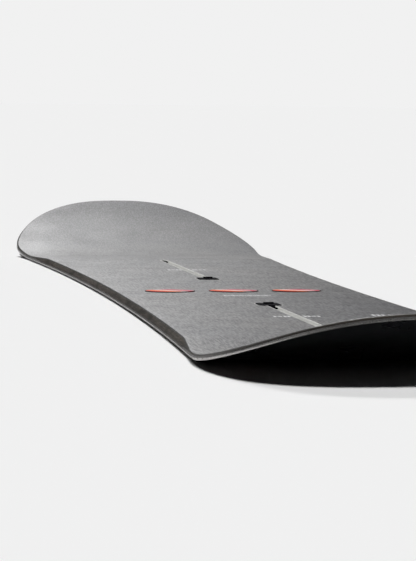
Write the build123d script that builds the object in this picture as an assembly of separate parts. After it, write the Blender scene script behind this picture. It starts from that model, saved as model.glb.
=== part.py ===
from build123d import *
import os
from math import atan2, cos, hypot, pi, radians, sin, sqrt

# A directional snowboard with two binding channels, lying flat on its running base.
# Millimetres. +X points to the nose, +Y to the board's left, +Z up.
# Origin: on the floor, under the middle of the board's bounding box.

# ---- driving dimensions: plan outline ------------------------------------------------------
TIP_X = 780.0             # both tips stand this far from the origin: 1560 mm overall
WAIST_X = -20.0           # the narrowest point, set back a little from the middle
WAIST_HALF = 125.0        # half of the waist width

# ---- driving dimensions: the two upturned ends ---------------------------------------------
# side is +1 for the nose and -1 for the tail. Lengths along X are measured towards that tip.
NOSE = dict(side=1, widest=597.0, half=147.0, shoulder_r=250.0, corner_r=119.0, tip_r=255.0,
            flat_end=513.0, kick_r=660.0, kick_angle=radians(21.3), taper_start=420.0,
            core_end=445.0)
TAIL = dict(side=-1, widest=605.0, half=142.0, shoulder_r=223.0, corner_r=115.0, tip_r=230.0,
            flat_end=558.0, kick_r=518.0, kick_angle=radians(22.5), taper_start=488.0,
            core_end=520.0)

# ---- driving dimensions: the stack, as heights above the running face -----------------------
BASE_TOP = 1.3            # running base
TINE_TOP = 1.7            # steel tines that reach in over the running base
FLOOR_TOP = 2.0           # steel edge, damping foil and lower laminate all end here
LAMINATE = 0.6            # upper laminate
SKIN = 0.4                # topsheet
THICK_MIDDLE = 8.0        # whole board between the tapers
THICK_ENDS = 4.8          # whole board in the upturned ends

# ---- driving dimensions: edges and sidewalls, as insets from the plan outline ---------------
EDGE_WIDTH = 2.0          # steel edge
TINE_REACH = 6.0          # inner end of the tines
SIDEWALL_INNER = 8.0      # glue line between sidewall and core
BEVEL_FOOT = 0.3          # the sidewall starts this far in, on top of the steel edge
BEVEL_START = 3.6         # it stands upright to this height, and then leans in
BEVEL_SLOPE = 1.2         # inset gained for each millimetre of height above that
SPACER_INSET = 0.4        # rim steps in the upturned ends, which follow the same bevel
LAMINATE_INSET = 1.0
SKIN_INSET = 1.6

# ---- driving dimensions: wood core ----------------------------------------------------------
CENTRE_STRIP_HALF = 17.0  # the middle strip, which holds the channels
DENSE_STRIPS = ((40.0, 52.0), (78.0, 90.0))

# ---- driving dimensions: binding channels ---------------------------------------------------
MOUNT_X = -39.0           # middle of the stance
WINDOW_REACH = 154.0      # from there to the middle of each entry window
SLOT_REACH = 285.0        # from the window's middle to the slot's outer end
WINDOW_LENGTH = 26.0
WINDOW_WIDTH = 22.0
WINDOW_CORNER = 4.0
HOUSING_WALL = 3.0        # housing around the window and the slot's end, below the laminate
HOUSING_HALF = 11.0       # half width of the housing along the slot
COLLAR_HALF = 4.5         # half width of the collar that shows along the slot
COLLAR_RIM = 0.8          # collar around the window
CAVITY_HALF = 6.0         # undercut that takes the flange of a binding nut
CAVITY_FLOOR = 4.6
LIP_UNDERSIDE = 6.8
MOUTH_HALF = 3.5          # 7 mm slot mouth
STOP_LENGTH = 6.0         # end stop in the undercut, past the mouth's end

# ---- driving dimensions: window plugs -------------------------------------------------------
PLUG_GAP = 0.3
RIB_LENGTH = 4.0
RIB_WIDTH = 9.5
RIB_HEIGHT = 2.2

# ---- worked out -----------------------------------------------------------------------------
CORE_MIDDLE = THICK_MIDDLE - LAMINATE - SKIN
CORE_ENDS = THICK_ENDS - LAMINATE - SKIN
HALF_WIDTH = 200.0        # past the board's sides, for cutting blocks
HEADROOM = 120.0          # past the top of the upturned ends
OVERSHOOT = 120.0         # how far a side profile runs on past its kick, beyond the tip


# ---- plan outline -----------------------------------------------------------------------------
def polar(centre, radius, angle):
    return (centre[0] + radius * cos(angle), centre[1] + radius * sin(angle))


def angle_to(start, end):
    return atan2(end[1] - start[1], end[0] - start[0])


def quarter_arcs(end, inset):
    """Arcs from the waist to one tip, on the left side, as (centre, radius, from, to)."""
    waist_x = end["side"] * WAIST_X
    rise = end["half"] - WAIST_HALF
    run = end["widest"] - waist_x
    side_r = (run**2 + rise**2) / (2 * rise) - end["shoulder_r"]
    side = (waist_x, WAIST_HALF + side_r)
    shoulder = (end["widest"], end["half"] - end["shoulder_r"])
    tip = (TIP_X - end["tip_r"], 0.0)
    near = end["shoulder_r"] - end["corner_r"]
    far = end["tip_r"] - end["corner_r"]
    span = hypot(tip[0] - shoulder[0], tip[1] - shoulder[1])
    along = (near**2 - far**2 + span**2) / (2 * span)
    bend = sqrt(near**2 - along**2)
    heading = angle_to(shoulder, tip)
    corner = polar(polar(shoulder, along, heading), bend, heading - pi / 2)
    leave_side = angle_to(side, shoulder)
    meet_corner = angle_to(shoulder, corner)
    meet_tip = angle_to(tip, corner)
    return ((side, side_r + inset, -pi / 2, leave_side),
            (shoulder, end["shoulder_r"] - inset, leave_side + pi, meet_corner),
            (corner, end["corner_r"] - inset, meet_corner, meet_tip),
            (tip, end["tip_r"] - inset, meet_tip, 0.0))


def plan_face(inset):
    """The board's outline seen from above, moved in by inset."""
    edges = []
    for end in (NOSE, TAIL):
        for centre, radius, start, stop in quarter_arcs(end, inset):
            for mirror in (1, -1):
                points = [polar(centre, radius, a) for a in (start, (start + stop) / 2, stop)]
                edges.append(ThreePointArc(*[(end["side"] * x, mirror * y) for x, y in points]))
    return make_face(edges)


def plan_prism(inset):
    return extrude(plan_face(inset), HEADROOM)


def plan_ring(outer, inner):
    return plan_prism(outer) - plan_prism(inner)


def bevel_prism():
    """Everything inside the sidewalls' outer faces, upright and then sloping, in the flat part."""
    crown_inset = BEVEL_FOOT + BEVEL_SLOPE * (THICK_MIDDLE - BEVEL_START)
    foot = Pos(0, 0, FLOOR_TOP) * plan_face(BEVEL_FOOT)
    knee = Pos(0, 0, BEVEL_START) * plan_face(BEVEL_FOOT)
    crown = Pos(0, 0, THICK_MIDDLE) * plan_face(crown_inset)
    slope = loft([knee.face(), crown.face()], ruled=True)
    return extrude(foot, BEVEL_START - FLOOR_TOP) + slope


# ---- side profile -----------------------------------------------------------------------------
def profile_points(end, middle, tip):
    """Points of one surface from the taper's start to past the tip, as (x, z)."""
    side = end["side"]
    centre = (end["flat_end"], end["kick_r"])
    radius = end["kick_r"] - tip
    turn = end["kick_angle"]
    bottom = polar(centre, radius, -pi / 2)
    halfway = polar(centre, radius, -pi / 2 + turn / 2)
    top = polar(centre, radius, -pi / 2 + turn)
    beyond = polar(top, OVERSHOOT, turn)
    points = [(end["taper_start"], middle), bottom, halfway, top, beyond]
    return [Vector(side * x, -HALF_WIDTH, z) for x, z in points]


def surface_edges(middle, tip):
    """One surface of the stack as edges from past the tail to past the nose."""
    tail = profile_points(TAIL, middle, tip)
    nose = profile_points(NOSE, middle, tip)
    edges = [Edge.make_line(tail[4], tail[3]), Edge.make_three_point_arc(tail[3], tail[2], tail[1])]
    if middle == tip:
        edges.append(Edge.make_line(tail[1], nose[1]))
    else:
        edges.append(Edge.make_line(tail[1], tail[0]))
        edges.append(Edge.make_line(tail[0], nose[0]))
        edges.append(Edge.make_line(nose[0], nose[1]))
    edges.append(Edge.make_three_point_arc(nose[1], nose[2], nose[3]))
    edges.append(Edge.make_line(nose[3], nose[4]))
    return edges, tail[4], nose[4]


def slab(low, high):
    """The space between two surfaces, each given as (height in the middle, height at the ends)."""
    under, under_tail, under_nose = surface_edges(*low)
    over, over_tail, over_nose = surface_edges(*high)
    closing = [Edge.make_line(under_tail, over_tail), Edge.make_line(under_nose, over_nose)]
    return extrude(make_face(under + over + closing), 2 * HALF_WIDTH, dir=(0, 1, 0))


def block(x_range, y_range, z_range):
    size = [stop - start for start, stop in (x_range, y_range, z_range)]
    middle = [(stop + start) / 2 for start, stop in (x_range, y_range, z_range)]
    return Pos(*middle) * Box(*size)


def flat_block():
    """All the space over the flat part of the board, between the two kicks."""
    return block((-TAIL["flat_end"], NOSE["flat_end"]), (-HALF_WIDTH, HALF_WIDTH), (0, HEADROOM))


def core_block():
    """All the space over the wood core and the sidewalls, which end short of the kicks."""
    return block((-TAIL["core_end"], NOSE["core_end"]), (-HALF_WIDTH, HALF_WIDTH), (0, HEADROOM))


def end_block(end):
    """All the space over one upturned end."""
    reach = sorted((end["side"] * end["flat_end"], end["side"] * 2 * TIP_X))
    return block(reach, (-HALF_WIDTH, HALF_WIDTH), (0, HEADROOM))


def side_block(side):
    """All the space on one side of the board's centre line."""
    reach = sorted((0.0, side * HALF_WIDTH))
    return block((-2 * TIP_X, 2 * TIP_X), reach, (-1, HEADROOM))


# ---- binding channels -------------------------------------------------------------------------
def place(end, shape):
    """Move a channel shape, drawn from its window towards +X, to its place in the board."""
    x = MOUNT_X + end["side"] * WINDOW_REACH
    return Pos(x, 0, 0) * Rot(0, 0, 0 if end["side"] > 0 else 180) * shape


def rounded_block(length, width, corner, z_range):
    outline = RectangleRounded(length, width, corner)
    return Pos(0, 0, z_range[0]) * extrude(outline, z_range[1] - z_range[0])


def round_ended_slot(half, z_range):
    """A straight run from the window's middle, with a half-round outer end."""
    end_x = SLOT_REACH - MOUTH_HALF
    run = block((0, end_x), (-half, half), z_range)
    return run + Pos(end_x, 0, z_range[0]) * extrude(Circle(half), z_range[1] - z_range[0])


def collar(z_range):
    """The part of a housing that passes up through the laminate and the topsheet."""
    window = rounded_block(WINDOW_LENGTH + 2 * COLLAR_RIM, WINDOW_WIDTH + 2 * COLLAR_RIM,
                           WINDOW_CORNER + COLLAR_RIM, z_range)
    return window + round_ended_slot(COLLAR_HALF, z_range)


def housing_pocket():
    """The part of a housing that sits in the wood core."""
    levels = (FLOOR_TOP, CORE_MIDDLE)
    half_length = WINDOW_LENGTH / 2 + HOUSING_WALL
    half_width = WINDOW_WIDTH / 2 + HOUSING_WALL
    end_x = SLOT_REACH + STOP_LENGTH + HOUSING_WALL
    window = block((-half_length, half_length), (-half_width, half_width), levels)
    return window + block((0, end_x), (-HOUSING_HALF, HOUSING_HALF), levels)


def channel_housing():
    body = housing_pocket() + collar((CORE_MIDDLE, THICK_MIDDLE))
    window = rounded_block(WINDOW_LENGTH, WINDOW_WIDTH, WINDOW_CORNER, (CAVITY_FLOOR, HEADROOM))
    cavity_end = SLOT_REACH + STOP_LENGTH
    cavity = block((0, cavity_end), (-CAVITY_HALF, CAVITY_HALF), (CAVITY_FLOOR, LIP_UNDERSIDE))
    return body - window - cavity - round_ended_slot(MOUTH_HALF, (CAVITY_FLOOR, HEADROOM))


def channel_stop():
    return block((SLOT_REACH, SLOT_REACH + STOP_LENGTH), (-CAVITY_HALF, CAVITY_HALF),
                 (CAVITY_FLOOR, LIP_UNDERSIDE))


def window_plug():
    plug = rounded_block(WINDOW_LENGTH - 2 * PLUG_GAP, WINDOW_WIDTH - 2 * PLUG_GAP,
                         WINDOW_CORNER - PLUG_GAP, (CAVITY_FLOOR, THICK_MIDDLE))
    rib = block((-RIB_LENGTH / 2, RIB_LENGTH / 2), (-RIB_WIDTH / 2, RIB_WIDTH / 2),
                (THICK_MIDDLE, THICK_MIDDLE + RIB_HEIGHT))
    return plug + rib


# ---- glued pieces -----------------------------------------------------------------------------
def base_pieces():
    edge = slab((0, 0), (FLOOR_TOP, FLOOR_TOP)) & plan_ring(0, EDGE_WIDTH)
    tine = slab((BASE_TOP, BASE_TOP), (TINE_TOP, TINE_TOP)) & plan_ring(EDGE_WIDTH, TINE_REACH)
    foil = slab((TINE_TOP, TINE_TOP), (FLOOR_TOP, FLOOR_TOP)) & plan_ring(EDGE_WIDTH, TINE_REACH)
    pieces = {
        "running_base": slab((0, 0), (BASE_TOP, BASE_TOP)) & plan_prism(EDGE_WIDTH),
        "lower_laminate": slab((BASE_TOP, BASE_TOP), (FLOOR_TOP, FLOOR_TOP)) & plan_prism(TINE_REACH),
    }
    for name, side in (("left", 1), ("right", -1)):
        pieces[f"steel_edge_{name}"] = (edge + tine) & side_block(side)
        pieces[f"damping_foil_{name}"] = foil & side_block(side)
    return pieces


def end_spacer(layer, flat, end):
    """The filler beyond the wood core: bevelled as far as the kick, stepped in past it."""
    reach = sorted((end["side"] * end["core_end"], end["side"] * end["flat_end"]))
    before_kick = flat & block(reach, (-HALF_WIDTH, HALF_WIDTH), (0, HEADROOM))
    return before_kick + (layer & end_block(end) & plan_prism(SPACER_INSET))


def core_pieces():
    """Sidewalls, wood strips and end spacers: the layer between the two laminates."""
    layer = slab((FLOOR_TOP, FLOOR_TOP), (CORE_MIDDLE, CORE_ENDS))
    flat = layer & flat_block() & bevel_prism()
    walls = (flat & core_block()) - plan_prism(SIDEWALL_INNER)
    core = flat & core_block() & plan_prism(SIDEWALL_INNER)
    for end in (NOSE, TAIL):
        core -= place(end, housing_pocket())
    dense = Part()
    for start, stop in DENSE_STRIPS:
        for y_range in ((start, stop), (-stop, -start)):
            dense += block((-TIP_X, TIP_X), y_range, (0, HEADROOM))
    bounds = [CENTRE_STRIP_HALF, DENSE_STRIPS[0][0], DENSE_STRIPS[0][1], DENSE_STRIPS[1][0],
              DENSE_STRIPS[1][1], HALF_WIDTH]
    light = [core & block((-TIP_X, TIP_X), (-bounds[0], bounds[0]), (0, HEADROOM))]
    for start, stop in zip(bounds[0::2], bounds[1::2]):
        light.append(core & block((-TIP_X, TIP_X), (start, stop), (0, HEADROOM)))
        light.append(core & block((-TIP_X, TIP_X), (-stop, -start), (0, HEADROOM)))
    return {
        "sidewall_left": walls & side_block(1),
        "sidewall_right": walls & side_block(-1),
        "core_light_strips": Compound([solid for strip in light for solid in strip.solids()]),
        "core_dense_strips": core & dense,
        "nose_spacer": end_spacer(layer, flat, NOSE),
        "tail_spacer": end_spacer(layer, flat, TAIL),
    }


def top_layer(low, high, end_inset):
    """A full-length sheet: bevelled along the flat part, stepped in at the upturned ends."""
    layer = slab(low, high)
    sheet = layer & flat_block() & bevel_prism()
    for end in (NOSE, TAIL):
        sheet += layer & end_block(end) & plan_prism(end_inset)
    for end in (NOSE, TAIL):
        sheet -= place(end, collar((FLOOR_TOP, HEADROOM)))
    return sheet


def top_pieces():
    core_top = (CORE_MIDDLE, CORE_ENDS)
    laminate_top = (CORE_MIDDLE + LAMINATE, CORE_ENDS + LAMINATE)
    return {
        "upper_laminate": top_layer(core_top, laminate_top, LAMINATE_INSET),
        "topsheet": top_layer(laminate_top, (THICK_MIDDLE, THICK_ENDS), SKIN_INSET),
    }


def channel_pieces():
    pieces = {}
    for name, end in (("front", NOSE), ("rear", TAIL)):
        pieces[f"channel_{name}"] = place(end, channel_housing())
        pieces[f"channel_stop_{name}"] = place(end, channel_stop())
        pieces[f"window_plug_{name}"] = place(end, window_plug())
    return pieces


os.makedirs("parts", exist_ok=True)
pieces = {**base_pieces(), **core_pieces(), **top_pieces(), **channel_pieces()}
for name, shape in pieces.items():
    export_step(shape, f"parts/{name}.step")
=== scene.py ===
import math

import bmesh
import bpy
import numpy as np
from mathutils import Matrix, Vector
from mathutils.geometry import delaunay_2d_cdt


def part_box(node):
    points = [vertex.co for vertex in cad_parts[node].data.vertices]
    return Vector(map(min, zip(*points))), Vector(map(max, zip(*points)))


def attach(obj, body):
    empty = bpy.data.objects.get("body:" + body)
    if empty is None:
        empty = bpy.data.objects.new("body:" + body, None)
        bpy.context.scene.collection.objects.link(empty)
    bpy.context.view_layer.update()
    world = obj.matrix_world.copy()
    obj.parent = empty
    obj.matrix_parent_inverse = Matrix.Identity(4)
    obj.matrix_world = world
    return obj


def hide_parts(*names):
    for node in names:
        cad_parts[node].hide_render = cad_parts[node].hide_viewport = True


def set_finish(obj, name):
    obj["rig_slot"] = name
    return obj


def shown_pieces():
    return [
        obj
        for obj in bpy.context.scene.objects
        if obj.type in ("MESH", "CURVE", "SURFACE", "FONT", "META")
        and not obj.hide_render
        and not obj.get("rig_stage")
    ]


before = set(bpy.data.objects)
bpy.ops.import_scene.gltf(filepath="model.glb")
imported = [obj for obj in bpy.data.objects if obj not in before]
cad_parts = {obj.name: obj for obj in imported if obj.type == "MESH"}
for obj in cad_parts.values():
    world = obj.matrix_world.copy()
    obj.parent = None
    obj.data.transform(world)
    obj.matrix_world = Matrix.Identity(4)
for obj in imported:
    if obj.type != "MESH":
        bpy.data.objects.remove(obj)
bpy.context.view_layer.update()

# ---- sizes, in metres. +X is the nose, +Y the board's left, +Z up ---------------------------
MM = 0.001
TIP_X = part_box("steel_edge_left")[1].x
WAIST_X = -20 * MM
WAIST_HALF = 125 * MM

NOSE = dict(side=1, widest=597 * MM, half=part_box("steel_edge_left")[1].y, shoulder_r=250 * MM,
            corner_r=119 * MM, tip_r=255 * MM, kick_r=660 * MM, kick_angle=math.radians(21.3),
            flat_end=513 * MM, taper_start=420 * MM, core_end=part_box("sidewall_left")[1].x)
TAIL = dict(side=-1, widest=605 * MM, half=142 * MM, shoulder_r=223 * MM,
            corner_r=115 * MM, tip_r=230 * MM, kick_r=518 * MM, kick_angle=math.radians(22.5),
            flat_end=558 * MM, taper_start=488 * MM, core_end=-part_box("sidewall_left")[0].x)

BASE_TOP = 1.3 * MM
TINE_TOP = 1.7 * MM
FLOOR_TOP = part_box("sidewall_left")[0].z
LAMINATE = 0.6 * MM
SKIN = 0.4 * MM
THICK_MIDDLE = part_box("channel_front")[1].z
THICK_ENDS = 4.8 * MM
EDGE_WIDTH = 2 * MM
TINE_REACH = 6 * MM
SIDEWALL_INNER = 8 * MM
BEVEL_FOOT = 0.3 * MM
BEVEL_START = 3.6 * MM
BEVEL_SLOPE = 1.2
KNEE = 0.15 * MM           # half height of the softened line where the sidewall starts to lean

WINDOW_LENGTH = 26 * MM
WINDOW_WIDTH = 22 * MM
WINDOW_CORNER = 4 * MM
COLLAR_RIM = 0.8 * MM
COLLAR_HALF = 4.5 * MM
MOUTH_HALF = 3.5 * MM
HOUSING_HALF = 11 * MM
COLLAR_SUNK = 0.2 * MM     # how far the collar's block reaches down into the housing
SEAM = 0.06 * MM           # between the collar and the sheets round it
CAVITY_HALF = 6 * MM
CAVITY_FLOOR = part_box("channel_stop_front")[0].z
LIP_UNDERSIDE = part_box("channel_stop_front")[1].z
STOP_LENGTH = 6 * MM
RIB_HALF_X = 2 * MM        # a plug's grip rib
RIB_HALF_Y = 4.75 * MM
PLUG_PAD_INSET = 0.5 * MM  # the pad under the rib is this much smaller all round than the plug
PLUG_CROWN = 0.6 * MM      # and stands this far above the topsheet
PLUG_OVERLAP = 1 * MM      # how far pad and rib reach down into the plug's block
HOUSING_ROUND = 0.2 * MM   # how far back from an edge its rounding starts
PLUG_ROUND = 0.45 * MM

STATION_STEP = 5 * MM      # between cross-sections along the outline
GRID_STEP = 9 * MM         # between points inside a sheet
CORNER_STEPS = 8           # in a quarter turn
TURN_STEPS = 20            # in a slot's round end
ABOVE = 2 * THICK_MIDDLE   # a height clear of the board, for cutting blocks

SHARP_SHEET = math.radians(28)      # sharper edges of sheets and bars are not shaded smooth
SHARP_MOULDING = math.radians(50)   # the same, for housings and plugs
SOFTEN_OVER = math.radians(35)      # sharper edges of housings and plugs are rounded


# ---- the board's shape ----------------------------------------------------------------------
def polar(centre, radius, angle):
    return (centre[0] + radius * math.cos(angle), centre[1] + radius * math.sin(angle))


def angle_to(start, end):
    return math.atan2(end[1] - start[1], end[0] - start[0])


def quarter_arcs(end):
    """Arcs from the waist to one tip, on the left side: (centre, radius, from, to, inward)."""
    waist_x = end["side"] * WAIST_X
    rise = end["half"] - WAIST_HALF
    run = end["widest"] - waist_x
    side_r = (run**2 + rise**2) / (2 * rise) - end["shoulder_r"]
    side = (waist_x, WAIST_HALF + side_r)
    shoulder = (end["widest"], end["half"] - end["shoulder_r"])
    tip = (TIP_X - end["tip_r"], 0.0)
    near = end["shoulder_r"] - end["corner_r"]
    far = end["tip_r"] - end["corner_r"]
    span = math.dist(shoulder, tip)
    along = (near**2 - far**2 + span**2) / (2 * span)
    bend = math.sqrt(near**2 - along**2)
    heading = angle_to(shoulder, tip)
    corner = polar(polar(shoulder, along, heading), bend, heading - math.pi / 2)
    leave_side = angle_to(side, shoulder)
    core_end = math.asin((end["core_end"] - waist_x) / side_r) - math.pi / 2
    meet_corner = angle_to(shoulder, corner)
    meet_tip = angle_to(tip, corner)
    return ((side, side_r, -math.pi / 2, core_end, 1),
            (side, side_r, core_end, leave_side, 1),
            (shoulder, end["shoulder_r"], leave_side + math.pi, meet_corner, -1),
            (corner, end["corner_r"], meet_corner, meet_tip, -1),
            (tip, end["tip_r"], meet_tip, 0.0, -1))


def quarter_stations(end):
    """Points along one quarter of the outline, waist to tip, as (x, y, inward x, inward y)."""
    stations = []
    core_count = 0
    for number, (centre, radius, start, stop, inward) in enumerate(quarter_arcs(end)):
        steps = max(2, math.ceil(abs(stop - start) * radius / STATION_STEP))
        for k in range(steps):
            angle = start + (stop - start) * k / steps
            x, y = polar(centre, radius, angle)
            stations.append((x, y, inward * math.cos(angle), inward * math.sin(angle)))
        if number == 0:
            core_count = len(stations)
    stations.append((TIP_X, 0.0, -1.0, 0.0))
    return [(end["side"] * x, y, end["side"] * nx, ny) for x, y, nx, ny in stations], core_count


def left_stations():
    """The left half of the outline, tail tip to nose tip, and where the core starts and ends."""
    tail, tail_count = quarter_stations(TAIL)
    nose, nose_count = quarter_stations(NOSE)
    whole = tail[::-1] + nose[1:]
    waist = len(tail) - 1
    return whole, waist - tail_count, waist + nose_count


def mirrored(stations):
    return [(x, -y, nx, -ny) for x, y, nx, ny in stations]


LEFT, CORE_FIRST, CORE_LAST = left_stations()


def end_of(x):
    return NOSE if x > 0 else TAIL


def height_at(x, middle, tip):
    """Height above the running face of a surface that thins from the middle to the ends."""
    end = end_of(x)
    share = (abs(x) - end["taper_start"]) / (end["flat_end"] - end["taper_start"])
    return middle + (tip - middle) * min(1.0, max(0.0, share))


def lift(x, height):
    """Z of a point that lies height above the running face, at x."""
    end = end_of(x)
    past = abs(x) - end["flat_end"]
    if past <= 0:
        return height
    radius = end["kick_r"] - height
    turn = end["kick_angle"]
    arc = radius * math.sin(turn)
    if past <= arc:
        return end["kick_r"] - math.sqrt(radius**2 - past**2)
    return end["kick_r"] - radius * math.cos(turn) + (past - arc) * math.tan(turn)


def lean(x, height):
    """How far a rim moves along X as it rises height from the running face: it stays square to
    the face, so it leans back over the board where the ends turn up."""
    end = end_of(x)
    past = abs(x) - end["flat_end"]
    slope = min(math.sin(end["kick_angle"]), max(0.0, past / end["kick_r"]))
    return -end["side"] * slope * height


def surface(middle, tip):
    return lambda x: height_at(x, middle, tip)


BOARD_TOP = surface(THICK_MIDDLE, THICK_ENDS)
SKIN_BOTTOM = surface(THICK_MIDDLE - SKIN, THICK_ENDS - SKIN)
CORE_TOP = surface(THICK_MIDDLE - SKIN - LAMINATE, THICK_ENDS - SKIN - LAMINATE)


def bevel_inset(height):
    return BEVEL_FOOT + BEVEL_SLOPE * max(0.0, height - BEVEL_START)


# ---- mesh helpers ---------------------------------------------------------------------------
def linked(name, data):
    """A new object in the scene with that mesh, lamp or camera."""
    made = bpy.data.objects.new(name, data)
    bpy.context.scene.collection.objects.link(made)
    return made


def linked_from(bm, name):
    """A new object in the scene with the shape of bm, which is used up."""
    mesh = bpy.data.meshes.new(name)
    bm.to_mesh(mesh)
    bm.free()
    return linked(name, mesh)


def new_piece(name, verts, faces):
    """A piece of the board, smooth but for its sharp edges."""
    mesh = bpy.data.meshes.new(name)
    mesh.from_pydata(verts, [], faces)
    mesh.validate()
    bm = bmesh.new()
    bm.from_mesh(mesh)
    bmesh.ops.recalc_face_normals(bm, faces=bm.faces)
    bm.to_mesh(mesh)
    bm.free()
    mesh.shade_smooth()
    mesh.set_sharp_from_angle(angle=SHARP_SHEET)
    piece = linked(name, mesh)
    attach(piece, "board")
    return piece


def ring_points(stations, inset, height):
    """One line along the stations; inset and height are functions of x."""
    points = []
    for x, y, nx, ny in stations:
        step = inset(x)
        px, py = x + nx * step + lean(x, height(x)), y + ny * step
        points.append((px, py, lift(px, height(x))))
    return points


def sweep(name, stations, profile):
    """A bar along the outline. profile(x) is its closed section as (inset, height) points."""
    verts, faces = [], []
    count = len(profile(0.0))
    for x, y, nx, ny in stations:
        for inset, height in profile(x):
            px, py = x + nx * inset + lean(x, height), y + ny * inset
            verts.append((px, py, lift(px, height)))
    for k in range(len(stations) - 1):
        for j in range(count):
            a, b = k * count + j, k * count + (j + 1) % count
            faces.append((a, b, b + count, a + count))
    faces.append(tuple(range(count)))
    last = (len(stations) - 1) * count
    faces.append(tuple(range(last, last + count)))
    return new_piece(name, verts, faces)


def inside(points, loop):
    """Which points lie inside a closed loop, by counting crossings."""
    x, y = points[:, 0:1], points[:, 1:2]
    ax, ay = loop[:, 0], loop[:, 1]
    bx, by = np.roll(ax, -1), np.roll(ay, -1)
    crosses = (ay > y) != (by > y)
    with np.errstate(divide="ignore", invalid="ignore"):
        at = (bx - ax) * (y - ay) / (by - ay) + ax
    return ((crosses & (x < at)).sum(axis=1) % 2).astype(bool)


def grid_inside(loop, holes):
    """Staggered points inside the loop, clear of its line and of the holes."""
    low, high = loop.min(axis=0), loop.max(axis=0)
    rows = []
    row_step = GRID_STEP * math.sqrt(3) / 2
    for number, y in enumerate(np.arange(low[1], high[1], row_step)):
        shift = GRID_STEP / 2 * (number % 2)
        rows += [(x, y) for x in np.arange(low[0] + shift, high[0], GRID_STEP)]
    points = np.array(rows)
    points = points[inside(points, loop)]
    for hole in holes:
        points = points[~inside(points, hole)]
    lines = np.vstack([loop, *holes])
    keep = [np.min(np.hypot(*(lines - p).T)) > GRID_STEP / 2 for p in points]
    return points[np.array(keep)]


def triangles_in(loop, holes):
    """Points and triangles that fill a loop with holes. The loops' own points come first."""
    loops = [np.array(loop)] + [np.array(h) for h in holes]
    edges, start = [], 0
    for line in loops:
        n = len(line)
        edges += [(start + k, start + (k + 1) % n) for k in range(n)]
        start += n
    points = np.vstack(loops + [grid_inside(loops[0], loops[1:])])
    made = delaunay_2d_cdt([Vector(p) for p in points], edges, [], 1, 1e-9)
    source = [ids[0] for ids in made[3]]
    faces = [[source[v] for v in face] for face in made[2]]
    centres = np.array([points[f].mean(axis=0) for f in faces])
    keep = np.ones(len(faces), bool)
    for hole in loops[1:]:
        keep &= ~inside(centres, hole)
    return points, [f for f, kept in zip(faces, keep) if kept]


def sheet_piece(name, stations, rim, low, high, holes=()):
    """A closed sheet. rim lists (inset, height) functions of x, from the bottom line to the top."""
    rings = [ring_points(stations, inset, height) for inset, height in rim]
    top_loop = [(x, y) for x, y, z in rings[-1]]
    points, faces = triangles_in(top_loop, holes)
    rim_count = len(top_loop)
    verts = [(x, y, lift(x, high(x))) for x, y in points]
    lower_start = len(verts)
    for k, (x, y) in enumerate(points):
        if k < rim_count:
            verts.append(rings[0][k])
        else:
            verts.append((x, y, lift(x, low(x))))
    for k in range(rim_count):
        verts[k] = rings[-1][k]
    quads = [tuple(v + lower_start for v in face) for face in faces]
    lines = [list(range(lower_start, lower_start + rim_count))]
    for ring in rings[1:-1]:
        lines.append(list(range(len(verts), len(verts) + rim_count)))
        verts += ring
    lines.append(list(range(rim_count)))
    for below, above in zip(lines, lines[1:]):
        for k in range(rim_count):
            j = (k + 1) % rim_count
            quads.append((below[k], below[j], above[j], above[k]))
    start = rim_count
    for hole in holes:
        n = len(hole)
        for k in range(n):
            a, b = start + k, start + (k + 1) % n
            quads.append((a, b, b + lower_start, a + lower_start))
        start += n
    return new_piece(name, verts, [tuple(f) for f in faces] + quads)


def constant(value):
    return lambda x: value


def just_below(height, drop):
    return lambda x: height(x) - drop


def bevel_at(height, extra=0.0):
    return lambda x: bevel_inset(height(x)) + extra


def round_corner(centre, radius, start, steps=CORNER_STEPS):
    """A quarter turn anticlockwise from the angle start, in degrees."""
    angles = [math.radians(start + 90 * k / steps) for k in range(steps + 1)]
    return [polar(centre, radius, a) for a in angles]


def half_turn(x, radius):
    """A slot's round end, anticlockwise from its right side."""
    angles = [math.radians(-90 + 180 * k / TURN_STEPS) for k in range(TURN_STEPS + 1)]
    return [polar((x, 0), radius, a) for a in angles]


# ---- channels, drawn from the window's middle towards +X ------------------------------------
def channel_place(name):
    """Where a channel's window is, its direction, and how far its slot reaches from there."""
    low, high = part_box(f"window_plug_{name}")
    middle = (low.x + high.x) / 2
    stop_low, stop_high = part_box(f"channel_stop_{name}")
    side = 1 if stop_low.x > middle else -1
    inner_face = stop_low.x if side > 0 else stop_high.x
    return middle, side, abs(inner_face - middle)


def placed(points, middle, side):
    return [(middle + side * x, side * y) for x, y in points]


def rounded_window(extra):
    """The window's outline, grown by extra, anticlockwise."""
    half_length = WINDOW_LENGTH / 2 + extra
    half_width = WINDOW_WIDTH / 2 + extra
    radius = WINDOW_CORNER + extra
    cx, cy = half_length - radius, half_width - radius
    return (round_corner((cx, -cy), radius, -90) + round_corner((cx, cy), radius, 0)
            + round_corner((-cx, cy), radius, 90) + round_corner((-cx, -cy), radius, 180))


def keyhole(reach, gap=0.0):
    """The collar's outline round window and slot, grown by gap, anticlockwise. It starts at the
    slot's right side."""
    half_length = WINDOW_LENGTH / 2 + COLLAR_RIM + gap
    half_width = WINDOW_WIDTH / 2 + COLLAR_RIM + gap
    radius = WINDOW_CORNER + COLLAR_RIM + gap
    half = COLLAR_HALF + gap
    cx, cy = half_length - radius, half_width - radius
    round_x = reach - MOUTH_HALF
    runs = int((round_x - half_length) / GRID_STEP)
    right = [(half_length + (round_x - half_length) * k / runs, -half) for k in range(runs)]
    left = [(x, -y) for x, y in right[::-1]]
    window = (round_corner((cx, cy), radius, 0) + round_corner((-cx, cy), radius, 90)
              + round_corner((-cx, -cy), radius, 180) + round_corner((cx, -cy), radius, -90))
    return right + half_turn(round_x, half) + left + window


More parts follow.
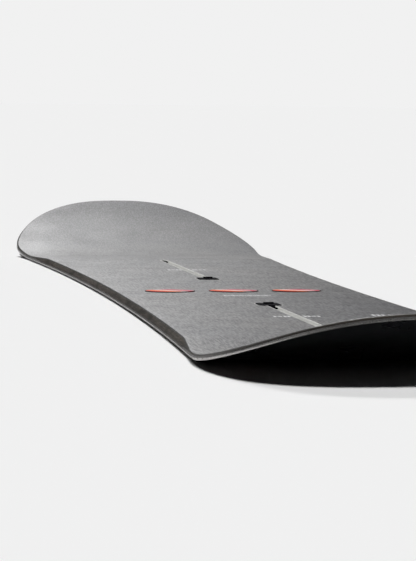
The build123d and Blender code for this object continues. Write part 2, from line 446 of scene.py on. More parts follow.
def add_block(bm, outline, bottom, top):
    """Adds a closed block with that outline to bm. bottom and top are functions of x."""
    lower = [bm.verts.new((x, y, bottom(x))) for x, y in outline]
    upper = [bm.verts.new((x, y, top(x))) for x, y in outline]
    bm.faces.new(lower[::-1])
    bm.faces.new(upper)
    n = len(outline)
    for k in range(n):
        j = (k + 1) % n
        bm.faces.new((lower[k], lower[j], upper[j], upper[k]))


def prism(outline, z_low, z_high):
    """A closed upright block, as an object."""
    bm = bmesh.new()
    add_block(bm, outline, constant(z_low), constant(z_high))
    return linked_from(bm, "block")


def apply_modifiers(block):
    graph = bpy.context.evaluated_depsgraph_get()
    mesh = bpy.data.meshes.new_from_object(block.evaluated_get(graph))
    block.modifiers.clear()
    block.data = mesh


def combine(target, other, operation):
    """Applies a boolean to target and removes the other block."""
    step = target.modifiers.new("step", "BOOLEAN")
    step.object = other
    step.operation = operation
    step.solver = "EXACT"
    apply_modifiers(target)
    bpy.data.objects.remove(other)


def rectangle(x_low, x_high, half):
    return [(x_low, -half), (x_high, -half), (x_high, half), (x_low, half)]


def soften(piece, width, segments):
    """Rounds the piece's sharp edges."""
    bevel = piece.modifiers.new("soft_edges", "BEVEL")
    bevel.width = width
    bevel.segments = segments
    bevel.limit_method = "ANGLE"
    bevel.angle_limit = SOFTEN_OVER
    bevel.use_clamp_overlap = True
    apply_modifiers(piece)
    piece.data.shade_smooth()
    piece.data.set_sharp_from_angle(angle=SHARP_MOULDING)


def channel_housing(name):
    """A housing with its collar, entry window, T-shaped slot and undercut."""
    middle, side, reach = channel_place(name)
    low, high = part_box(f"channel_{name}")
    core_top = THICK_MIDDLE - SKIN - LAMINATE
    end_x = abs((high.x if side > 0 else low.x) - middle)
    back_x = abs((low.x if side > 0 else high.x) - middle)
    wide, narrow = high.y, HOUSING_HALF
    pocket = [(-back_x, -wide), (back_x, -wide), (back_x, -narrow), (end_x, -narrow),
              (end_x, narrow), (back_x, narrow), (back_x, wide), (-back_x, wide)]
    body = prism(placed(pocket, middle, side), FLOOR_TOP, core_top)
    collar = prism(placed(keyhole(reach, -SEAM), middle, side), core_top - COLLAR_SUNK,
                   THICK_MIDDLE)
    combine(body, collar, "UNION")
    window = prism(placed(rounded_window(0.0), middle, side), CAVITY_FLOOR, ABOVE)
    combine(body, window, "DIFFERENCE")
    cavity = prism(placed(rectangle(0, reach + STOP_LENGTH, CAVITY_HALF), middle, side),
                   CAVITY_FLOOR, LIP_UNDERSIDE)
    combine(body, cavity, "DIFFERENCE")
    turn = half_turn(reach - MOUTH_HALF, MOUTH_HALF)
    mouth = [(0, -MOUTH_HALF)] + turn + [(0, MOUTH_HALF)]
    combine(body, prism(placed(mouth, middle, side), CAVITY_FLOOR, ABOVE), "DIFFERENCE")
    body.name = f"channel_housing_{name}"
    soften(body, HOUSING_ROUND, 2)
    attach(body, "board")
    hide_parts(f"channel_{name}")
    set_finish(body, "channel_plastic")


def window_plug(name):
    """A plug: the block that fills the window, a slightly smaller pad on it, and the grip rib."""
    middle, side, _ = channel_place(name)
    low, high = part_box(f"window_plug_{name}")
    gap = (WINDOW_LENGTH - (high.x - low.x)) / 2
    inside_block = THICK_MIDDLE - PLUG_OVERLAP
    body = prism(placed(rounded_window(-gap), middle, side), low.z, THICK_MIDDLE)
    pad = prism(placed(rounded_window(-gap - PLUG_PAD_INSET), middle, side), inside_block,
                THICK_MIDDLE + PLUG_CROWN)
    combine(body, pad, "UNION")
    rib = prism(placed(rectangle(-RIB_HALF_X, RIB_HALF_X, RIB_HALF_Y), middle, side),
                inside_block, high.z)
    combine(body, rib, "UNION")
    body.name = f"plug_{name}"
    soften(body, PLUG_ROUND, 3)
    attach(body, f"{name}_plug")
    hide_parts(f"window_plug_{name}")
    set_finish(body, "plug_plastic")


# ---- pieces ---------------------------------------------------------------------------------
def edge_profile(x):
    """The steel strip with its tine. The small steps ease its outer corners."""
    return ((0.18 * MM, 0.0), (EDGE_WIDTH, 0.0), (EDGE_WIDTH, BASE_TOP), (TINE_REACH, BASE_TOP),
            (TINE_REACH, TINE_TOP), (EDGE_WIDTH, TINE_TOP), (EDGE_WIDTH, FLOOR_TOP),
            (0.12 * MM, FLOOR_TOP), (0.03 * MM, FLOOR_TOP - 0.05 * MM),
            (0.0, FLOOR_TOP - 0.15 * MM), (0.0, 0.2 * MM), (0.05 * MM, 0.06 * MM))


def sidewall_profile(x):
    top = CORE_TOP(x)
    return ((BEVEL_FOOT, FLOOR_TOP), (SIDEWALL_INNER, FLOOR_TOP), (SIDEWALL_INNER, top),
            (bevel_inset(top), top), (bevel_inset(BEVEL_START + KNEE), BEVEL_START + KNEE),
            (BEVEL_FOOT, BEVEL_START - KNEE))


def make_edges():
    for name, stations in (("left", LEFT), ("right", mirrored(LEFT))):
        edge = sweep(f"edge_{name}", stations, edge_profile)
        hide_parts(f"steel_edge_{name}")
        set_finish(edge, "edge_steel")


def make_sidewalls():
    flat = LEFT[CORE_FIRST:CORE_LAST + 1]
    for name, stations in (("left", flat), ("right", mirrored(flat))):
        wall = sweep(f"side_strip_{name}", stations, sidewall_profile)
        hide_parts(f"sidewall_{name}")
        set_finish(wall, "sidewall_plastic")


def full_loop():
    return LEFT + mirrored(LEFT)[-2:0:-1]


def make_spacers():
    """The fillers in the two upturned ends, whose inner ends are straight."""
    nose = LEFT[CORE_LAST:]
    tail = LEFT[:CORE_FIRST + 1]
    loops = (("nose", nose + mirrored(nose)[-2::-1]), ("tail", mirrored(tail)[:0:-1] + tail))
    for name, loop in loops:
        rim = [(constant(BEVEL_FOOT), constant(FLOOR_TOP)),
               (constant(BEVEL_FOOT), constant(BEVEL_START)), (bevel_at(CORE_TOP), CORE_TOP)]
        filler = sheet_piece(f"filler_{name}", loop, rim, constant(FLOOR_TOP), CORE_TOP)
        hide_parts(f"{name}_spacer")
        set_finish(filler, "spacer_plastic")


def make_sheets():
    """Topsheet and upper laminate, open round the collars, and the running base."""
    collars = []
    for name in ("front", "rear"):
        middle, side, reach = channel_place(name)
        collars.append(placed(keyhole(reach), middle, side))
    loop = full_loop()
    ease = 0.12 * MM
    skin_rim = [(bevel_at(SKIN_BOTTOM), SKIN_BOTTOM),
                (bevel_at(just_below(BOARD_TOP, ease)), just_below(BOARD_TOP, ease)),
                (bevel_at(BOARD_TOP, ease), just_below(BOARD_TOP, ease / 6)),
                (bevel_at(BOARD_TOP, 3 * ease), BOARD_TOP)]
    skin = sheet_piece("top_skin", loop, skin_rim, SKIN_BOTTOM, BOARD_TOP, collars)
    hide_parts("topsheet")
    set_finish(skin, "topsheet_skin")
    laminate_rim = [(bevel_at(CORE_TOP), CORE_TOP), (bevel_at(SKIN_BOTTOM), SKIN_BOTTOM)]
    laminate = sheet_piece("top_laminate", loop, laminate_rim, CORE_TOP, SKIN_BOTTOM, collars)
    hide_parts("upper_laminate")
    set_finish(laminate, "glass_laminate")
    base_rim = [(constant(EDGE_WIDTH), constant(0.0)), (constant(EDGE_WIDTH), constant(BASE_TOP))]
    base = sheet_piece("base_sheet", loop, base_rim, constant(0.0), constant(BASE_TOP))
    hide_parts("running_base")
    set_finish(base, "base_plastic")


make_edges()
make_sidewalls()
make_spacers()
make_sheets()
for part in ("front", "rear"):
    channel_housing(part)
    window_plug(part)


# ---- materials: colours are linear, and places are metres in each piece's own frame ----------
class Paint:
    """One procedural material. Sockets that are the same all over are set straight on the shader."""

    def __init__(self, name, **sockets):
        self.material = bpy.data.materials.new(name)
        self.material.use_nodes = True
        self.nodes = self.material.node_tree.nodes
        self.links = self.material.node_tree.links
        self.shader = self.nodes["Principled BSDF"]
        self.place = self.nodes.new("ShaderNodeTexCoord").outputs["Object"]
        self.normal = None
        for label, value in sockets.items():
            self.feed(self.shader.inputs[label.replace("_", " ")], value)

    def feed(self, socket, value):
        if isinstance(value, bpy.types.NodeSocket):
            self.links.new(value, socket)
        else:
            socket.default_value = value

    def node(self, kind, output, **inputs):
        node = self.nodes.new(kind)
        for label, value in inputs.items():
            self.feed(node.inputs[label], value)
        return node.outputs[output]

    def scaled(self, x, y, z):
        return self.node("ShaderNodeMapping", "Vector", Vector=self.place, Scale=(x, y, z))

    def noise(self, size, detail=2.0, rough=0.5, at=None):
        place = at or self.place
        return self.node("ShaderNodeTexNoise", "Fac", Vector=place, Scale=1 / size, Detail=detail,
                         Roughness=rough)

    def work(self, operation, first, second=0.0, third=0.0):
        node = self.nodes.new("ShaderNodeMath")
        node.operation = operation
        for socket, value in zip(node.inputs, (first, second, third)):
            self.feed(socket, value)
        return node.outputs[0]

    def span(self, value, low, high, to_low=0.0, to_high=1.0):
        """Maps low..high to another range, held at its ends."""
        node = self.nodes.new("ShaderNodeMapRange")
        for number, each in enumerate((value, low, high, to_low, to_high)):
            self.feed(node.inputs[number], each)
        return node.outputs[0]

    def ramp(self, value, *stops, steps=False):
        """A colour by value. Each stop is (position, red, green, blue)."""
        node = self.nodes.new("ShaderNodeValToRGB")
        self.feed(node.inputs[0], value)
        if steps:
            node.color_ramp.interpolation = "CONSTANT"
        while len(node.color_ramp.elements) < len(stops):
            node.color_ramp.elements.new(0.5)
        for element, (position, red, green, blue) in zip(node.color_ramp.elements, stops):
            element.position = position
            element.color = (red, green, blue, 1)
        return node.outputs["Color"]

    def mix(self, share, first, second, blend="MIX"):
        node = self.nodes.new("ShaderNodeMix")
        node.data_type = "RGBA"
        node.blend_type = blend
        for number, value in ((0, share), (6, first), (7, second)):
            self.feed(node.inputs[number], value)
        return node.outputs[2]

    def axis(self, name):
        return self.node("ShaderNodeSeparateXYZ", name, Vector=self.place)

    def colour(self, value):
        self.feed(self.shader.inputs["Base Color"], value)

    def rough(self, value, low, high):
        """Roughness from low to high as value goes from 0.3 to 0.7."""
        self.feed(self.shader.inputs["Roughness"], self.span(value, 0.3, 0.7, low, high))

    def bump(self, height, depth):
        """Raises the surface by depth metres where height is 1. Calls add up."""
        node = self.nodes.new("ShaderNodeBump")
        node.inputs["Strength"].default_value = 1.0
        node.inputs["Distance"].default_value = depth
        self.feed(node.inputs["Height"], height)
        if self.normal is not None:
            self.links.new(self.normal, node.inputs["Normal"])
        self.normal = node.outputs["Normal"]
        self.feed(self.shader.inputs["Normal"], self.normal)


def grey(value):
    return (value, value, value, 1)


def skin_paint():
    """Satin lacquer over grey print: a cloudy tone, a fine pebble, and flecks drawn out along the
    board that get calmer towards the nose."""
    paint = Paint("topsheet_skin", Specular_IOR_Level=0.5)
    cloud = paint.noise(0.16, 4.0, 0.6)
    base = paint.ramp(cloud, (0.3, 0.088, 0.088, 0.094), (0.5, 0.100, 0.099, 0.103),
                      (0.7, 0.114, 0.110, 0.111))
    speckle = paint.noise(0.0026, 2.0, 0.6)
    tone = paint.ramp(speckle, (0.35, 0.8, 0.8, 0.8), (0.5, 1.0, 1.0, 1.0), (0.65, 1.2, 1.2, 1.2))
    base = paint.mix(1.0, base, tone, "MULTIPLY")
    drawn = paint.noise(0.0014, 2.0, 0.6, paint.scaled(0.12, 1.0, 1.0))
    fleck = paint.ramp(drawn, (0.38, 0.20, 0.20, 0.21), (0.5, 1.0, 1.0, 1.0),
                       (0.62, 2.05, 2.03, 2.0))
    calm = paint.span(paint.axis("X"), 0.40, 0.62, 0.0, 0.6)
    fleck = paint.mix(calm, fleck, grey(1.0))
    paint.colour(paint.mix(1.0, base, fleck, "MULTIPLY"))
    paint.rough(paint.noise(0.05, 3.0, 0.6), 0.29, 0.38)
    paint.bump(paint.noise(0.0009, 2.0, 0.5), 0.000012)
    paint.bump(drawn, 0.00002)
    return paint


def wall_paint():
    """Dark machined sidewall plastic: cutter streaks along its length, scuffs, and painted shade that
    darkens its upright foot.
    """
    paint = Paint("sidewall_plastic", Specular_IOR_Level=0.15)
    along = paint.scaled(0.06, 1.0, 1.0)
    streak = paint.noise(0.0011, 4.0, 0.65, along)
    base = paint.ramp(streak, (0.34, 0.040, 0.034, 0.028), (0.5, 0.130, 0.114, 0.098),
                      (0.66, 0.270, 0.240, 0.210))
    blot = paint.noise(0.014, 3.0, 0.6, paint.scaled(0.4, 1.0, 1.0))
    base = paint.mix(paint.span(blot, 0.46, 0.60, 0.0, 0.8), base, (0.026, 0.021, 0.017, 1))
    # painted shade: the upright lower face, below where the bevel starts, is mixed towards near black
    painted_foot_shade = paint.span(paint.axis("Z"), BEVEL_START - 0.3 * MM, BEVEL_START + 0.2 * MM, 0.6, 0.0)
    paint.colour(paint.mix(painted_foot_shade, base, (0.012, 0.010, 0.009, 1)))
    paint.rough(streak, 0.36, 0.55)
    paint.bump(streak, 0.00006)
    return paint


def steel_paint():
    """Ground steel: fine scratches along the edge, small dull patches."""
    paint = Paint("edge_steel", Metallic=1.0, Specular_IOR_Level=0.5)
    along = paint.scaled(0.02, 1.0, 1.0)
    scratch = paint.noise(0.0004, 3.0, 0.7, along)
    base = paint.ramp(scratch, (0.3, 0.34, 0.33, 0.32), (0.6, 0.55, 0.54, 0.53))
    dull = paint.span(paint.noise(0.012, 3.0, 0.6), 0.55, 0.72, 0.0, 0.6)
    paint.colour(paint.mix(dull, base, (0.22, 0.20, 0.185, 1)))
    paint.rough(scratch, 0.22, 0.42)
    paint.bump(scratch, 0.000015)
    return paint


def base_paint():
    """Black sintered base: the stone's ground lines run along the board, with waxy patches."""
    paint = Paint("base_plastic", Specular_IOR_Level=0.2)
    ground = paint.noise(0.0007, 3.0, 0.6, paint.scaled(0.03, 1.0, 0.03))
    base = paint.ramp(ground, (0.3, 0.0035, 0.0036, 0.0042), (0.7, 0.010, 0.0102, 0.0115))
    wax = paint.noise(0.06, 4.0, 0.6)
    paint.colour(paint.mix(paint.span(wax, 0.45, 0.75, 0.0, 0.5), base, (0.016, 0.016, 0.018, 1)))
    paint.rough(wax, 0.24, 0.42)
    paint.bump(ground, 0.00002)
    return paint


def moulded(name, dark, light, size=0.0006, depth=0.00002, rough=(0.4, 0.55), gloss=0.5):
    """Moulded plastic: a fine sparked grain and a slow change of tone."""
    paint = Paint(name, Specular_IOR_Level=gloss)
    slow = paint.noise(0.02, 3.0, 0.6)
    paint.colour(paint.ramp(slow, (0.3, *dark), (0.7, *light)))
    paint.rough(paint.noise(0.008, 3.0, 0.6), *rough)
    paint.bump(paint.noise(size, 2.0, 0.5), depth)
    return paint


def laminate_paint():
    """Resin-soaked glass cloth: rovings at 45 degrees, crossing every 1.5 mm."""
    paint = Paint("glass_laminate", Specular_IOR_Level=0.5)
    x, y = paint.axis("X"), paint.axis("Y")
    per_metre = 3000.0
    one = paint.work("SINE", paint.work("MULTIPLY", paint.work("ADD", x, y), per_metre))
    two = paint.work("SINE", paint.work("MULTIPLY", paint.work("SUBTRACT", x, y), per_metre))
    weave = paint.work("MAXIMUM", one, two)
    paint.colour(paint.ramp(weave, (0.0, 0.030, 0.028, 0.024), (1.0, 0.085, 0.082, 0.070)))
    paint.rough(paint.noise(0.01, 2.0, 0.5), 0.3, 0.5)
    paint.bump(weave, 0.00004)
    return paint


def wood_paint(name, dark, light):
    """Glued wood strips, with the grain along the board."""
    paint = Paint(name, Specular_IOR_Level=0.3)
    along = paint.scaled(0.05, 1.0, 1.0)
    rings = paint.node("ShaderNodeTexWave", "Fac", Vector=along, Scale=160.0, Distortion=9.0,
                       Detail=3.0)
    base = paint.ramp(rings, (0.1, *dark), (0.9, *light))
    pores = paint.noise(0.0006, 2.0, 0.6, paint.scaled(0.03, 1.0, 1.0))
    paint.colour(paint.mix(paint.span(pores, 0.3, 0.45, 0.6, 0.0), base, (*dark, 1)))
    paint.rough(rings, 0.55, 0.75)
    paint.bump(pores, 0.00005)
    return paint


PAINTS = {
    "topsheet_skin": skin_paint(),
    "sidewall_plastic": wall_paint(),
    "edge_steel": steel_paint(),
    "base_plastic": base_paint(),
    "glass_laminate": laminate_paint(),
    "spacer_plastic": moulded("spacer_plastic", (0.030, 0.026, 0.022), (0.062, 0.053, 0.045),
                              rough=(0.35, 0.5)),
    "channel_plastic": moulded("channel_plastic", (0.53, 0.53, 0.51), (0.62, 0.62, 0.60)),
    "plug_plastic": moulded("plug_plastic", (0.004, 0.004, 0.005), (0.009, 0.009, 0.011),
                            size=0.0004, depth=0.00003, rough=(0.65, 0.8), gloss=0.05),
    "foil_rubber": moulded("foil_rubber", (0.010, 0.010, 0.010), (0.022, 0.022, 0.022),
                           rough=(0.6, 0.8)),
    "light_wood": wood_paint("light_wood", (0.42, 0.28, 0.15), (0.62, 0.46, 0.29)),
    "dense_wood": wood_paint("dense_wood", (0.22, 0.12, 0.055), (0.38, 0.23, 0.12)),
}


CAD_SLOTS = {
    "damping_foil_left": "foil_rubber",
    "damping_foil_right": "foil_rubber",
    "lower_laminate": "glass_laminate",
    "core_light_strips": "light_wood",
    "core_dense_strips": "dense_wood",
    "channel_stop_front": "plug_plastic",
    "channel_stop_rear": "plug_plastic",
}


def dress_all():
    """Gives every piece, and every CAD node still shown, the paint of its material slot."""
    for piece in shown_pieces():
        if piece.name in CAD_SLOTS:
            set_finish(piece, CAD_SLOTS[piece.name])
        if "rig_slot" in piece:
            piece.data.materials.clear()
            piece.data.materials.append(PAINTS[piece["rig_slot"]].material)


# ---- printed marks and badges on the topsheet -----------------------------------------------
MOUNT_X = (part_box("window_plug_front")[0].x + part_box("window_plug_rear")[1].x) / 2
BADGE_HALF_X = 15 * MM
BADGE_HALF_Y = 24.8 * MM
BADGE_SPACING = 63.2 * MM
BADGE_SHIFT = 3.3 * MM
BADGE_X = MOUNT_X - 3 * MM
BADGE_RISE = 0.7 * MM
BADGE_STEPS = 72
# A badge's section from its middle out: the share of its half width, and of its rise.
BADGE_RINGS = ((0.5, 1.0), (0.92, 0.99), (0.975, 0.95), (0.995, 0.8), (1.0, 0.6), (1.0, -0.1))
INK = 0.03 * MM            # the ink's height above the topsheet, and how far it reaches in
SUNK = 0.02 * MM
FRONT_STANCE_X = MOUNT_X + 281 * MM
REAR_STANCE_X = MOUNT_X - 274 * MM
TICKS_X = MOUNT_X - 55 * MM
TAIL_BARS_X = MOUNT_X - 266 * MM


def capsule(x, y, half_x, half_y):
    """The outline of a bar with round ends, or of a dot, centred on (x, y)."""
    radius = min(half_x, half_y)
    cx, cy = half_x - radius, half_y - radius
    corners = ((cx, -cy, -90), (cx, cy, 0), (-cx, cy, 90), (-cx, -cy, 180))
    outline = []
    for dx, dy, start in corners:
        outline += round_corner((x + dx, y + dy), radius, start, steps=4)[:-1]
    return outline


def mark_row(x, offsets, half_x, half_y):
    """Bars in a row across the board. The offsets from its middle and the sizes are millimetres."""
    return [capsule(x, y * MM, half_x * MM, half_y * MM) for y in offsets]


def ink_top(x):
    return lift(x, BOARD_TOP(x) + INK)


def ink_bottom(x):
    return lift(x, BOARD_TOP(x) - SUNK)


def print_marks():
    """White ink: stance marks across each slot, a row of ticks, five bars near the tail."""
    outlines = []
    for x in (FRONT_STANCE_X, REAR_STANCE_X):
        for side in (-1, 1):
            outlines += mark_row(x, (side * 7.2, side * 10.6, side * 19.6), 5.5, 1.3)
            outlines += mark_row(x, (side * 15.2,), 3.0, 2.2)
    ticks = [22 - 2.0 * k for k in range(23)]
    outlines += mark_row(TICKS_X, ticks[::4], 7.0, 0.7)
    outlines += mark_row(TICKS_X, [y for k, y in enumerate(ticks) if k % 4], 4.5, 0.5)
    outlines += mark_row(TAIL_BARS_X, (-71, -75.5, -80), 6, 1.5)
    outlines += mark_row(TAIL_BARS_X, (-86, -90), 4, 1.4)
    bm = bmesh.new()
    for outline in outlines:
        add_block(bm, outline, ink_bottom, ink_top)
    marks = linked_from(bm, "print_marks")
    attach(marks, "board")
    marks.data.materials.append(ink_paint().material)


def ink_paint():
    """Screen-printed white ink, thin in places and slightly raised."""
    paint = Paint("white_ink", Specular_IOR_Level=0.5)
    thin = paint.noise(0.0012, 3.0, 0.7)
    paint.colour(paint.ramp(thin, (0.3, 0.42, 0.42, 0.42), (0.5, 0.74, 0.74, 0.75)))
    paint.rough(paint.noise(0.004, 2.0, 0.5), 0.35, 0.5)
    paint.bump(thin, 0.00001)
    return paint


def badge_paint():
    """Slanting stripes of colour inside a dark rim of painted shade round the shoulder, thicker on the
    side of the tail.
    """
    paint = Paint("badge_print", Specular_IOR_Level=0.01)
    uv = paint.nodes.new("ShaderNodeUVMap")
    uv.uv_map = "badge"
    split = paint.nodes.new("ShaderNodeSeparateXYZ")
    paint.links.new(uv.outputs["UV"], split.inputs[0])
    across, along = split.outputs["X"], split.outputs["Y"]
    slant = paint.work("MULTIPLY_ADD", along, 0.5, paint.work("MULTIPLY", across, 0.6))
    wobble = paint.work("MULTIPLY_ADD", paint.noise(0.012, 1.0, 0.4), 0.06, slant)
    stripes = paint.ramp(wobble, (0.0, 0.52, 0.03, 0.03), (0.24, 0.72, 0.05, 0.03),
                         (0.37, 0.90, 0.20, 0.07), (0.53, 0.70, 0.68, 0.66),
                         (0.66, 0.66, 0.07, 0.11), (0.83, 0.52, 0.30, 0.32),
                         (0.95, 0.14, 0.04, 0.04), steps=True)
    fibre = paint.noise(0.0009, 2.0, 0.6)
    stripes = paint.mix(paint.span(fibre, 0.3, 0.7, 0.0, 0.08), stripes, grey(0.25))
    # painted shade: a dark band round the badge's edge, measured from a centre set off towards the
    # nose so that it is thicker on the tail side
    reach = paint.work("SQRT", paint.work("ADD",
                       paint.work("POWER", paint.work("SUBTRACT", across, 0.5), 2.0),
                       paint.work("POWER", paint.work("SUBTRACT", along, 0.54), 2.0)))
    rim = paint.span(reach, 0.476, 0.482)
    paint.colour(paint.mix(rim, stripes, (0.035, 0.012, 0.010, 1)))
    paint.rough(fibre, 0.25, 0.4)
    paint.bump(fibre, 0.00001)
    return paint


def badge(name, y_middle, paint):
    """An oval disc with a rounded shoulder, stuck on the topsheet."""
    bm = bmesh.new()
    layer = bm.loops.layers.uv.new("badge")
    centre = bm.verts.new((BADGE_X, y_middle, THICK_MIDDLE + BADGE_RISE))
    lines = []
    for share, rise in BADGE_RINGS:
        line = []
        for k in range(BADGE_STEPS):
            dx, dy = polar((0, 0), share, 2 * math.pi * k / BADGE_STEPS)
            place = (BADGE_X + dx * BADGE_HALF_X, y_middle + dy * BADGE_HALF_Y)
            line.append(bm.verts.new((*place, THICK_MIDDLE + BADGE_RISE * rise)))
        lines.append(line)
    for k in range(BADGE_STEPS):
        j = (k + 1) % BADGE_STEPS
        bm.faces.new((centre, lines[0][k], lines[0][j]))
        for inner, outer in zip(lines, lines[1:]):
            bm.faces.new((inner[k], outer[k], outer[j], inner[j]))
    bm.faces.new(lines[-1][::-1])
    for face in bm.faces:
        for loop in face.loops:
            place = loop.vert.co
            across = 0.5 - (place.y - y_middle) / (2 * BADGE_HALF_Y)
            loop[layer].uv = (across, 0.5 + (place.x - BADGE_X) / (2 * BADGE_HALF_X))
    piece = linked_from(bm, name)
    piece.data.shade_smooth()
    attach(piece, "board")
    piece.data.materials.append(paint.material)


dress_all()
print_marks()
badge_look = badge_paint()
for number, part in enumerate(("right", "middle", "left")):
    badge(f"badge_{part}", BADGE_SHIFT + (number - 1) * BADGE_SPACING, badge_look)


# ---- camera, light and floor ----------------------------------------------------------------
CAMERA_PLACE = Vector((-2.4304, 0.4734, 0.2045))
CAMERA_HEADING = math.radians(-10.54)   # from +X, seen from above
CAMERA_DIP = math.radians(4.379)
CAMERA_ROLL = math.radians(0.722)
CAMERA_LENS = 159.7                     # millimetres on a 36 mm sensor

FLOOR_ALBEDO = 0.9
BACKDROP = 0.879                        # the floor's brightness, so that no horizon shows
AMBIENT = 0.0008
KEY_SUN = 3.08
BACK_SUN = 1.02
TO_TAIL = (0.3, 0.8)                    # where the key's shadows fall, per metre of height
TO_NOSE = (1.2, -0.6)
TO_CAMERA = (-0.9, 0.55)
TO_RIGHT = (0.0, -2.2)
SLOT_FILL = 2.4
KEY_SPREAD = 11                         # the lamps' widths in the sky, in degrees
BACK_SPREAD = 12
FILL_SPREAD = 10
SEAM_X = 577 * MM                       # where the two keys' stretches of floor meet
FLOOR_REACH = 30.0
FLOOR_DROP = 0.05 * MM                  # the floor lies this far under the base
# What glossy surfaces see: brightness by the Y of a direction, for directions that point ahead,
# low down and high up, and for those that point behind.
ROOM_LOW = ((-1.0, 0.30), (-0.5, 0.20), (-0.30, 0.02), (-0.235, 0.10), (-0.12, 1.10),
            (-0.10, 1.10), (-0.03, 0.10), (1.0, 0.12))
ROOM_HIGH = ((-1.0, 0.60), (-0.5, 0.40), (-0.30, 0.0), (-0.19, 0.6), (-0.16, 1.2),
             (-0.13, 1.7), (-0.10, 7.0), (-0.07, 4.3), (0.0, 0.5), (1.0, 0.4))
ROOM_BEHIND = ((-1.0, 0.7), (-0.5, 0.4), (-0.3, 0.12), (1.0, 0.10))
HIGH_UP = (0.15, 0.6)                   # the Z over which the low one blends into the high one
AHEAD = (-0.1, 0.4)                     # the X over which the one behind blends into those ahead


def make_camera():
    ahead = Vector((math.cos(CAMERA_HEADING) * math.cos(CAMERA_DIP),
                    math.sin(CAMERA_HEADING) * math.cos(CAMERA_DIP), -math.sin(CAMERA_DIP)))
    right = ahead.cross(Vector((0, 0, 1))).normalized()
    up = right.cross(ahead)
    turned_right = right * math.cos(CAMERA_ROLL) + up * math.sin(CAMERA_ROLL)
    turned_up = up * math.cos(CAMERA_ROLL) - right * math.sin(CAMERA_ROLL)
    data = bpy.data.cameras.new("camera")
    data.lens = CAMERA_LENS
    data.sensor_width = 36
    data.clip_start = 0.01
    data.clip_end = 100
    camera = linked("camera", data)
    axes = Matrix((turned_right, turned_up, -ahead)).transposed()
    camera.matrix_world = Matrix.Translation(CAMERA_PLACE) @ axes.to_4x4()
    bpy.context.scene.camera = camera


def make_floors():
    """The floor, in two stretches that meet under the board: one towards the tail, one the nose."""
    material = bpy.data.materials.new("floor")
    material.use_nodes = True
    shader = material.node_tree.nodes["Principled BSDF"]
    shader.inputs["Base Color"].default_value = grey(FLOOR_ALBEDO)
    shader.inputs["Roughness"].default_value = 1.0
    shader.inputs["Specular IOR Level"].default_value = 0.0
    floors = []
    for name, low, high in (("floor_tail", -FLOOR_REACH, SEAM_X), ("floor_nose", SEAM_X, FLOOR_REACH)):
        mesh = bpy.data.meshes.new(name)
        corners = rectangle(low, high, FLOOR_REACH)
        mesh.from_pydata([(x, y, -FLOOR_DROP) for x, y in corners], [], [(0, 1, 2, 3)])
        mesh.materials.append(material)
        floor = linked(name, mesh)
        floor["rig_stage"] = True
        floors.append(floor)
    return floors


def sun(name, energy, towards, spread, lit):
    """A distant light that lights only some objects."""
    data = bpy.data.lights.new(name, "SUN")
    data.energy = energy
    data.angle = math.radians(spread)
    lamp = linked(name, data)
    lamp.visible_glossy = False         # reflections come from the world alone
    lamp.rotation_mode = "QUATERNION"
    lamp.rotation_quaternion = Vector((*towards, -1)).to_track_quat("-Z", "Y")
    group = bpy.data.collections.new(f"lit_by_{name}")
    for each in lit:
        group.objects.link(each)
    lamp.light_linking.receiver_collection = group


def room_colour(tree):
    """The surround that glossy surfaces see: a bright upright band past the nose, a little to the
    right of the board's line, that falls off to both sides and low down."""
    place = tree.nodes.new("ShaderNodeTexCoord")
    split = tree.nodes.new("ShaderNodeSeparateXYZ")
    tree.links.new(place.outputs["Generated"], split.inputs[0])

    def span(axis, low, high):
        node = tree.nodes.new("ShaderNodeMapRange")
        node.inputs["From Min"].default_value = low
        node.inputs["From Max"].default_value = high
        tree.links.new(split.outputs[axis], node.inputs["Value"])
        return node.outputs[0]

    def across(stops):
        ramp = tree.nodes.new("ShaderNodeValToRGB")
        tree.links.new(span("Y", -1.0, 1.0), ramp.inputs[0])
        while len(ramp.color_ramp.elements) < len(stops):
            ramp.color_ramp.elements.new(0.5)
        for element, (sine, value) in zip(ramp.color_ramp.elements, stops):
            element.position = (sine + 1) / 2
            element.color = grey(value)
        return ramp.outputs["Color"]

    def mix(share, first, second):
        node = tree.nodes.new("ShaderNodeMix")
        node.data_type = "RGBA"
        for number, value in ((0, share), (6, first), (7, second)):
            tree.links.new(value, node.inputs[number])
        return node.outputs[2]

    ahead = mix(span("Z", *HIGH_UP), across(ROOM_LOW), across(ROOM_HIGH))
    return mix(span("X", *AHEAD), across(ROOM_BEHIND), ahead)


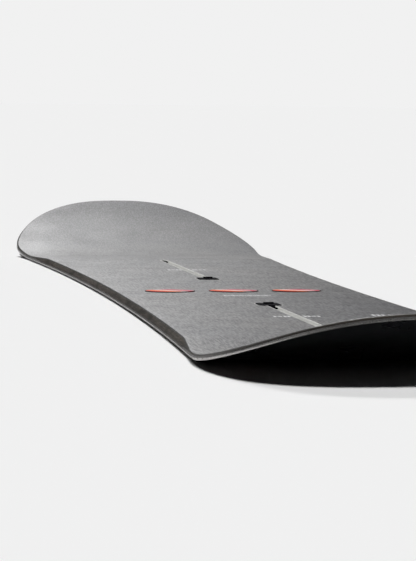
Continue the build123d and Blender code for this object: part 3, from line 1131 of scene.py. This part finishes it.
def make_world():
    world = bpy.data.worlds.new("studio")
    bpy.context.scene.world = world
    world.use_nodes = True
    tree = world.node_tree
    tree.nodes.clear()
    out = tree.nodes.new("ShaderNodeOutputWorld")
    path = tree.nodes.new("ShaderNodeLightPath")
    ambient = tree.nodes.new("ShaderNodeBackground")
    ambient.inputs["Color"].default_value = grey(AMBIENT)
    mirrored_room = tree.nodes.new("ShaderNodeBackground")
    tree.links.new(room_colour(tree), mirrored_room.inputs["Color"])
    seen = tree.nodes.new("ShaderNodeBackground")
    seen.inputs["Color"].default_value = grey(BACKDROP)
    glossy = tree.nodes.new("ShaderNodeMixShader")
    camera = tree.nodes.new("ShaderNodeMixShader")
    tree.links.new(path.outputs["Is Glossy Ray"], glossy.inputs[0])
    tree.links.new(ambient.outputs[0], glossy.inputs[1])
    tree.links.new(mirrored_room.outputs[0], glossy.inputs[2])
    tree.links.new(path.outputs["Is Camera Ray"], camera.inputs[0])
    tree.links.new(glossy.outputs[0], camera.inputs[1])
    tree.links.new(seen.outputs[0], camera.inputs[2])
    tree.links.new(camera.outputs[0], out.inputs["Surface"])


def upright(towards):
    """The share of a distant light that a level floor receives."""
    return 1 / math.sqrt(1 + towards[0]**2 + towards[1]**2)


def make_lights(tail_floor, nose_floor):
    """Keys for the board and the floor round its tail, and one from the other side for the floor
    round its nose, which gets the same light. A low fill reaches into the channels' slots."""
    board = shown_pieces()
    level = KEY_SUN * upright(TO_TAIL) + BACK_SUN * upright(TO_CAMERA)
    sun("key_tail", KEY_SUN, TO_TAIL, KEY_SPREAD, board + [tail_floor])
    sun("back", BACK_SUN, TO_CAMERA, BACK_SPREAD, board + [tail_floor])
    sun("key_nose", level / upright(TO_NOSE), TO_NOSE, KEY_SPREAD, [nose_floor])
    housings = [piece for piece in board if piece.name.startswith("channel_housing")]
    sun("slot_fill", SLOT_FILL, TO_RIGHT, FILL_SPREAD, housings)


make_camera()
make_world()
make_lights(*make_floors())
bpy.context.scene.view_settings.view_transform = "Standard"
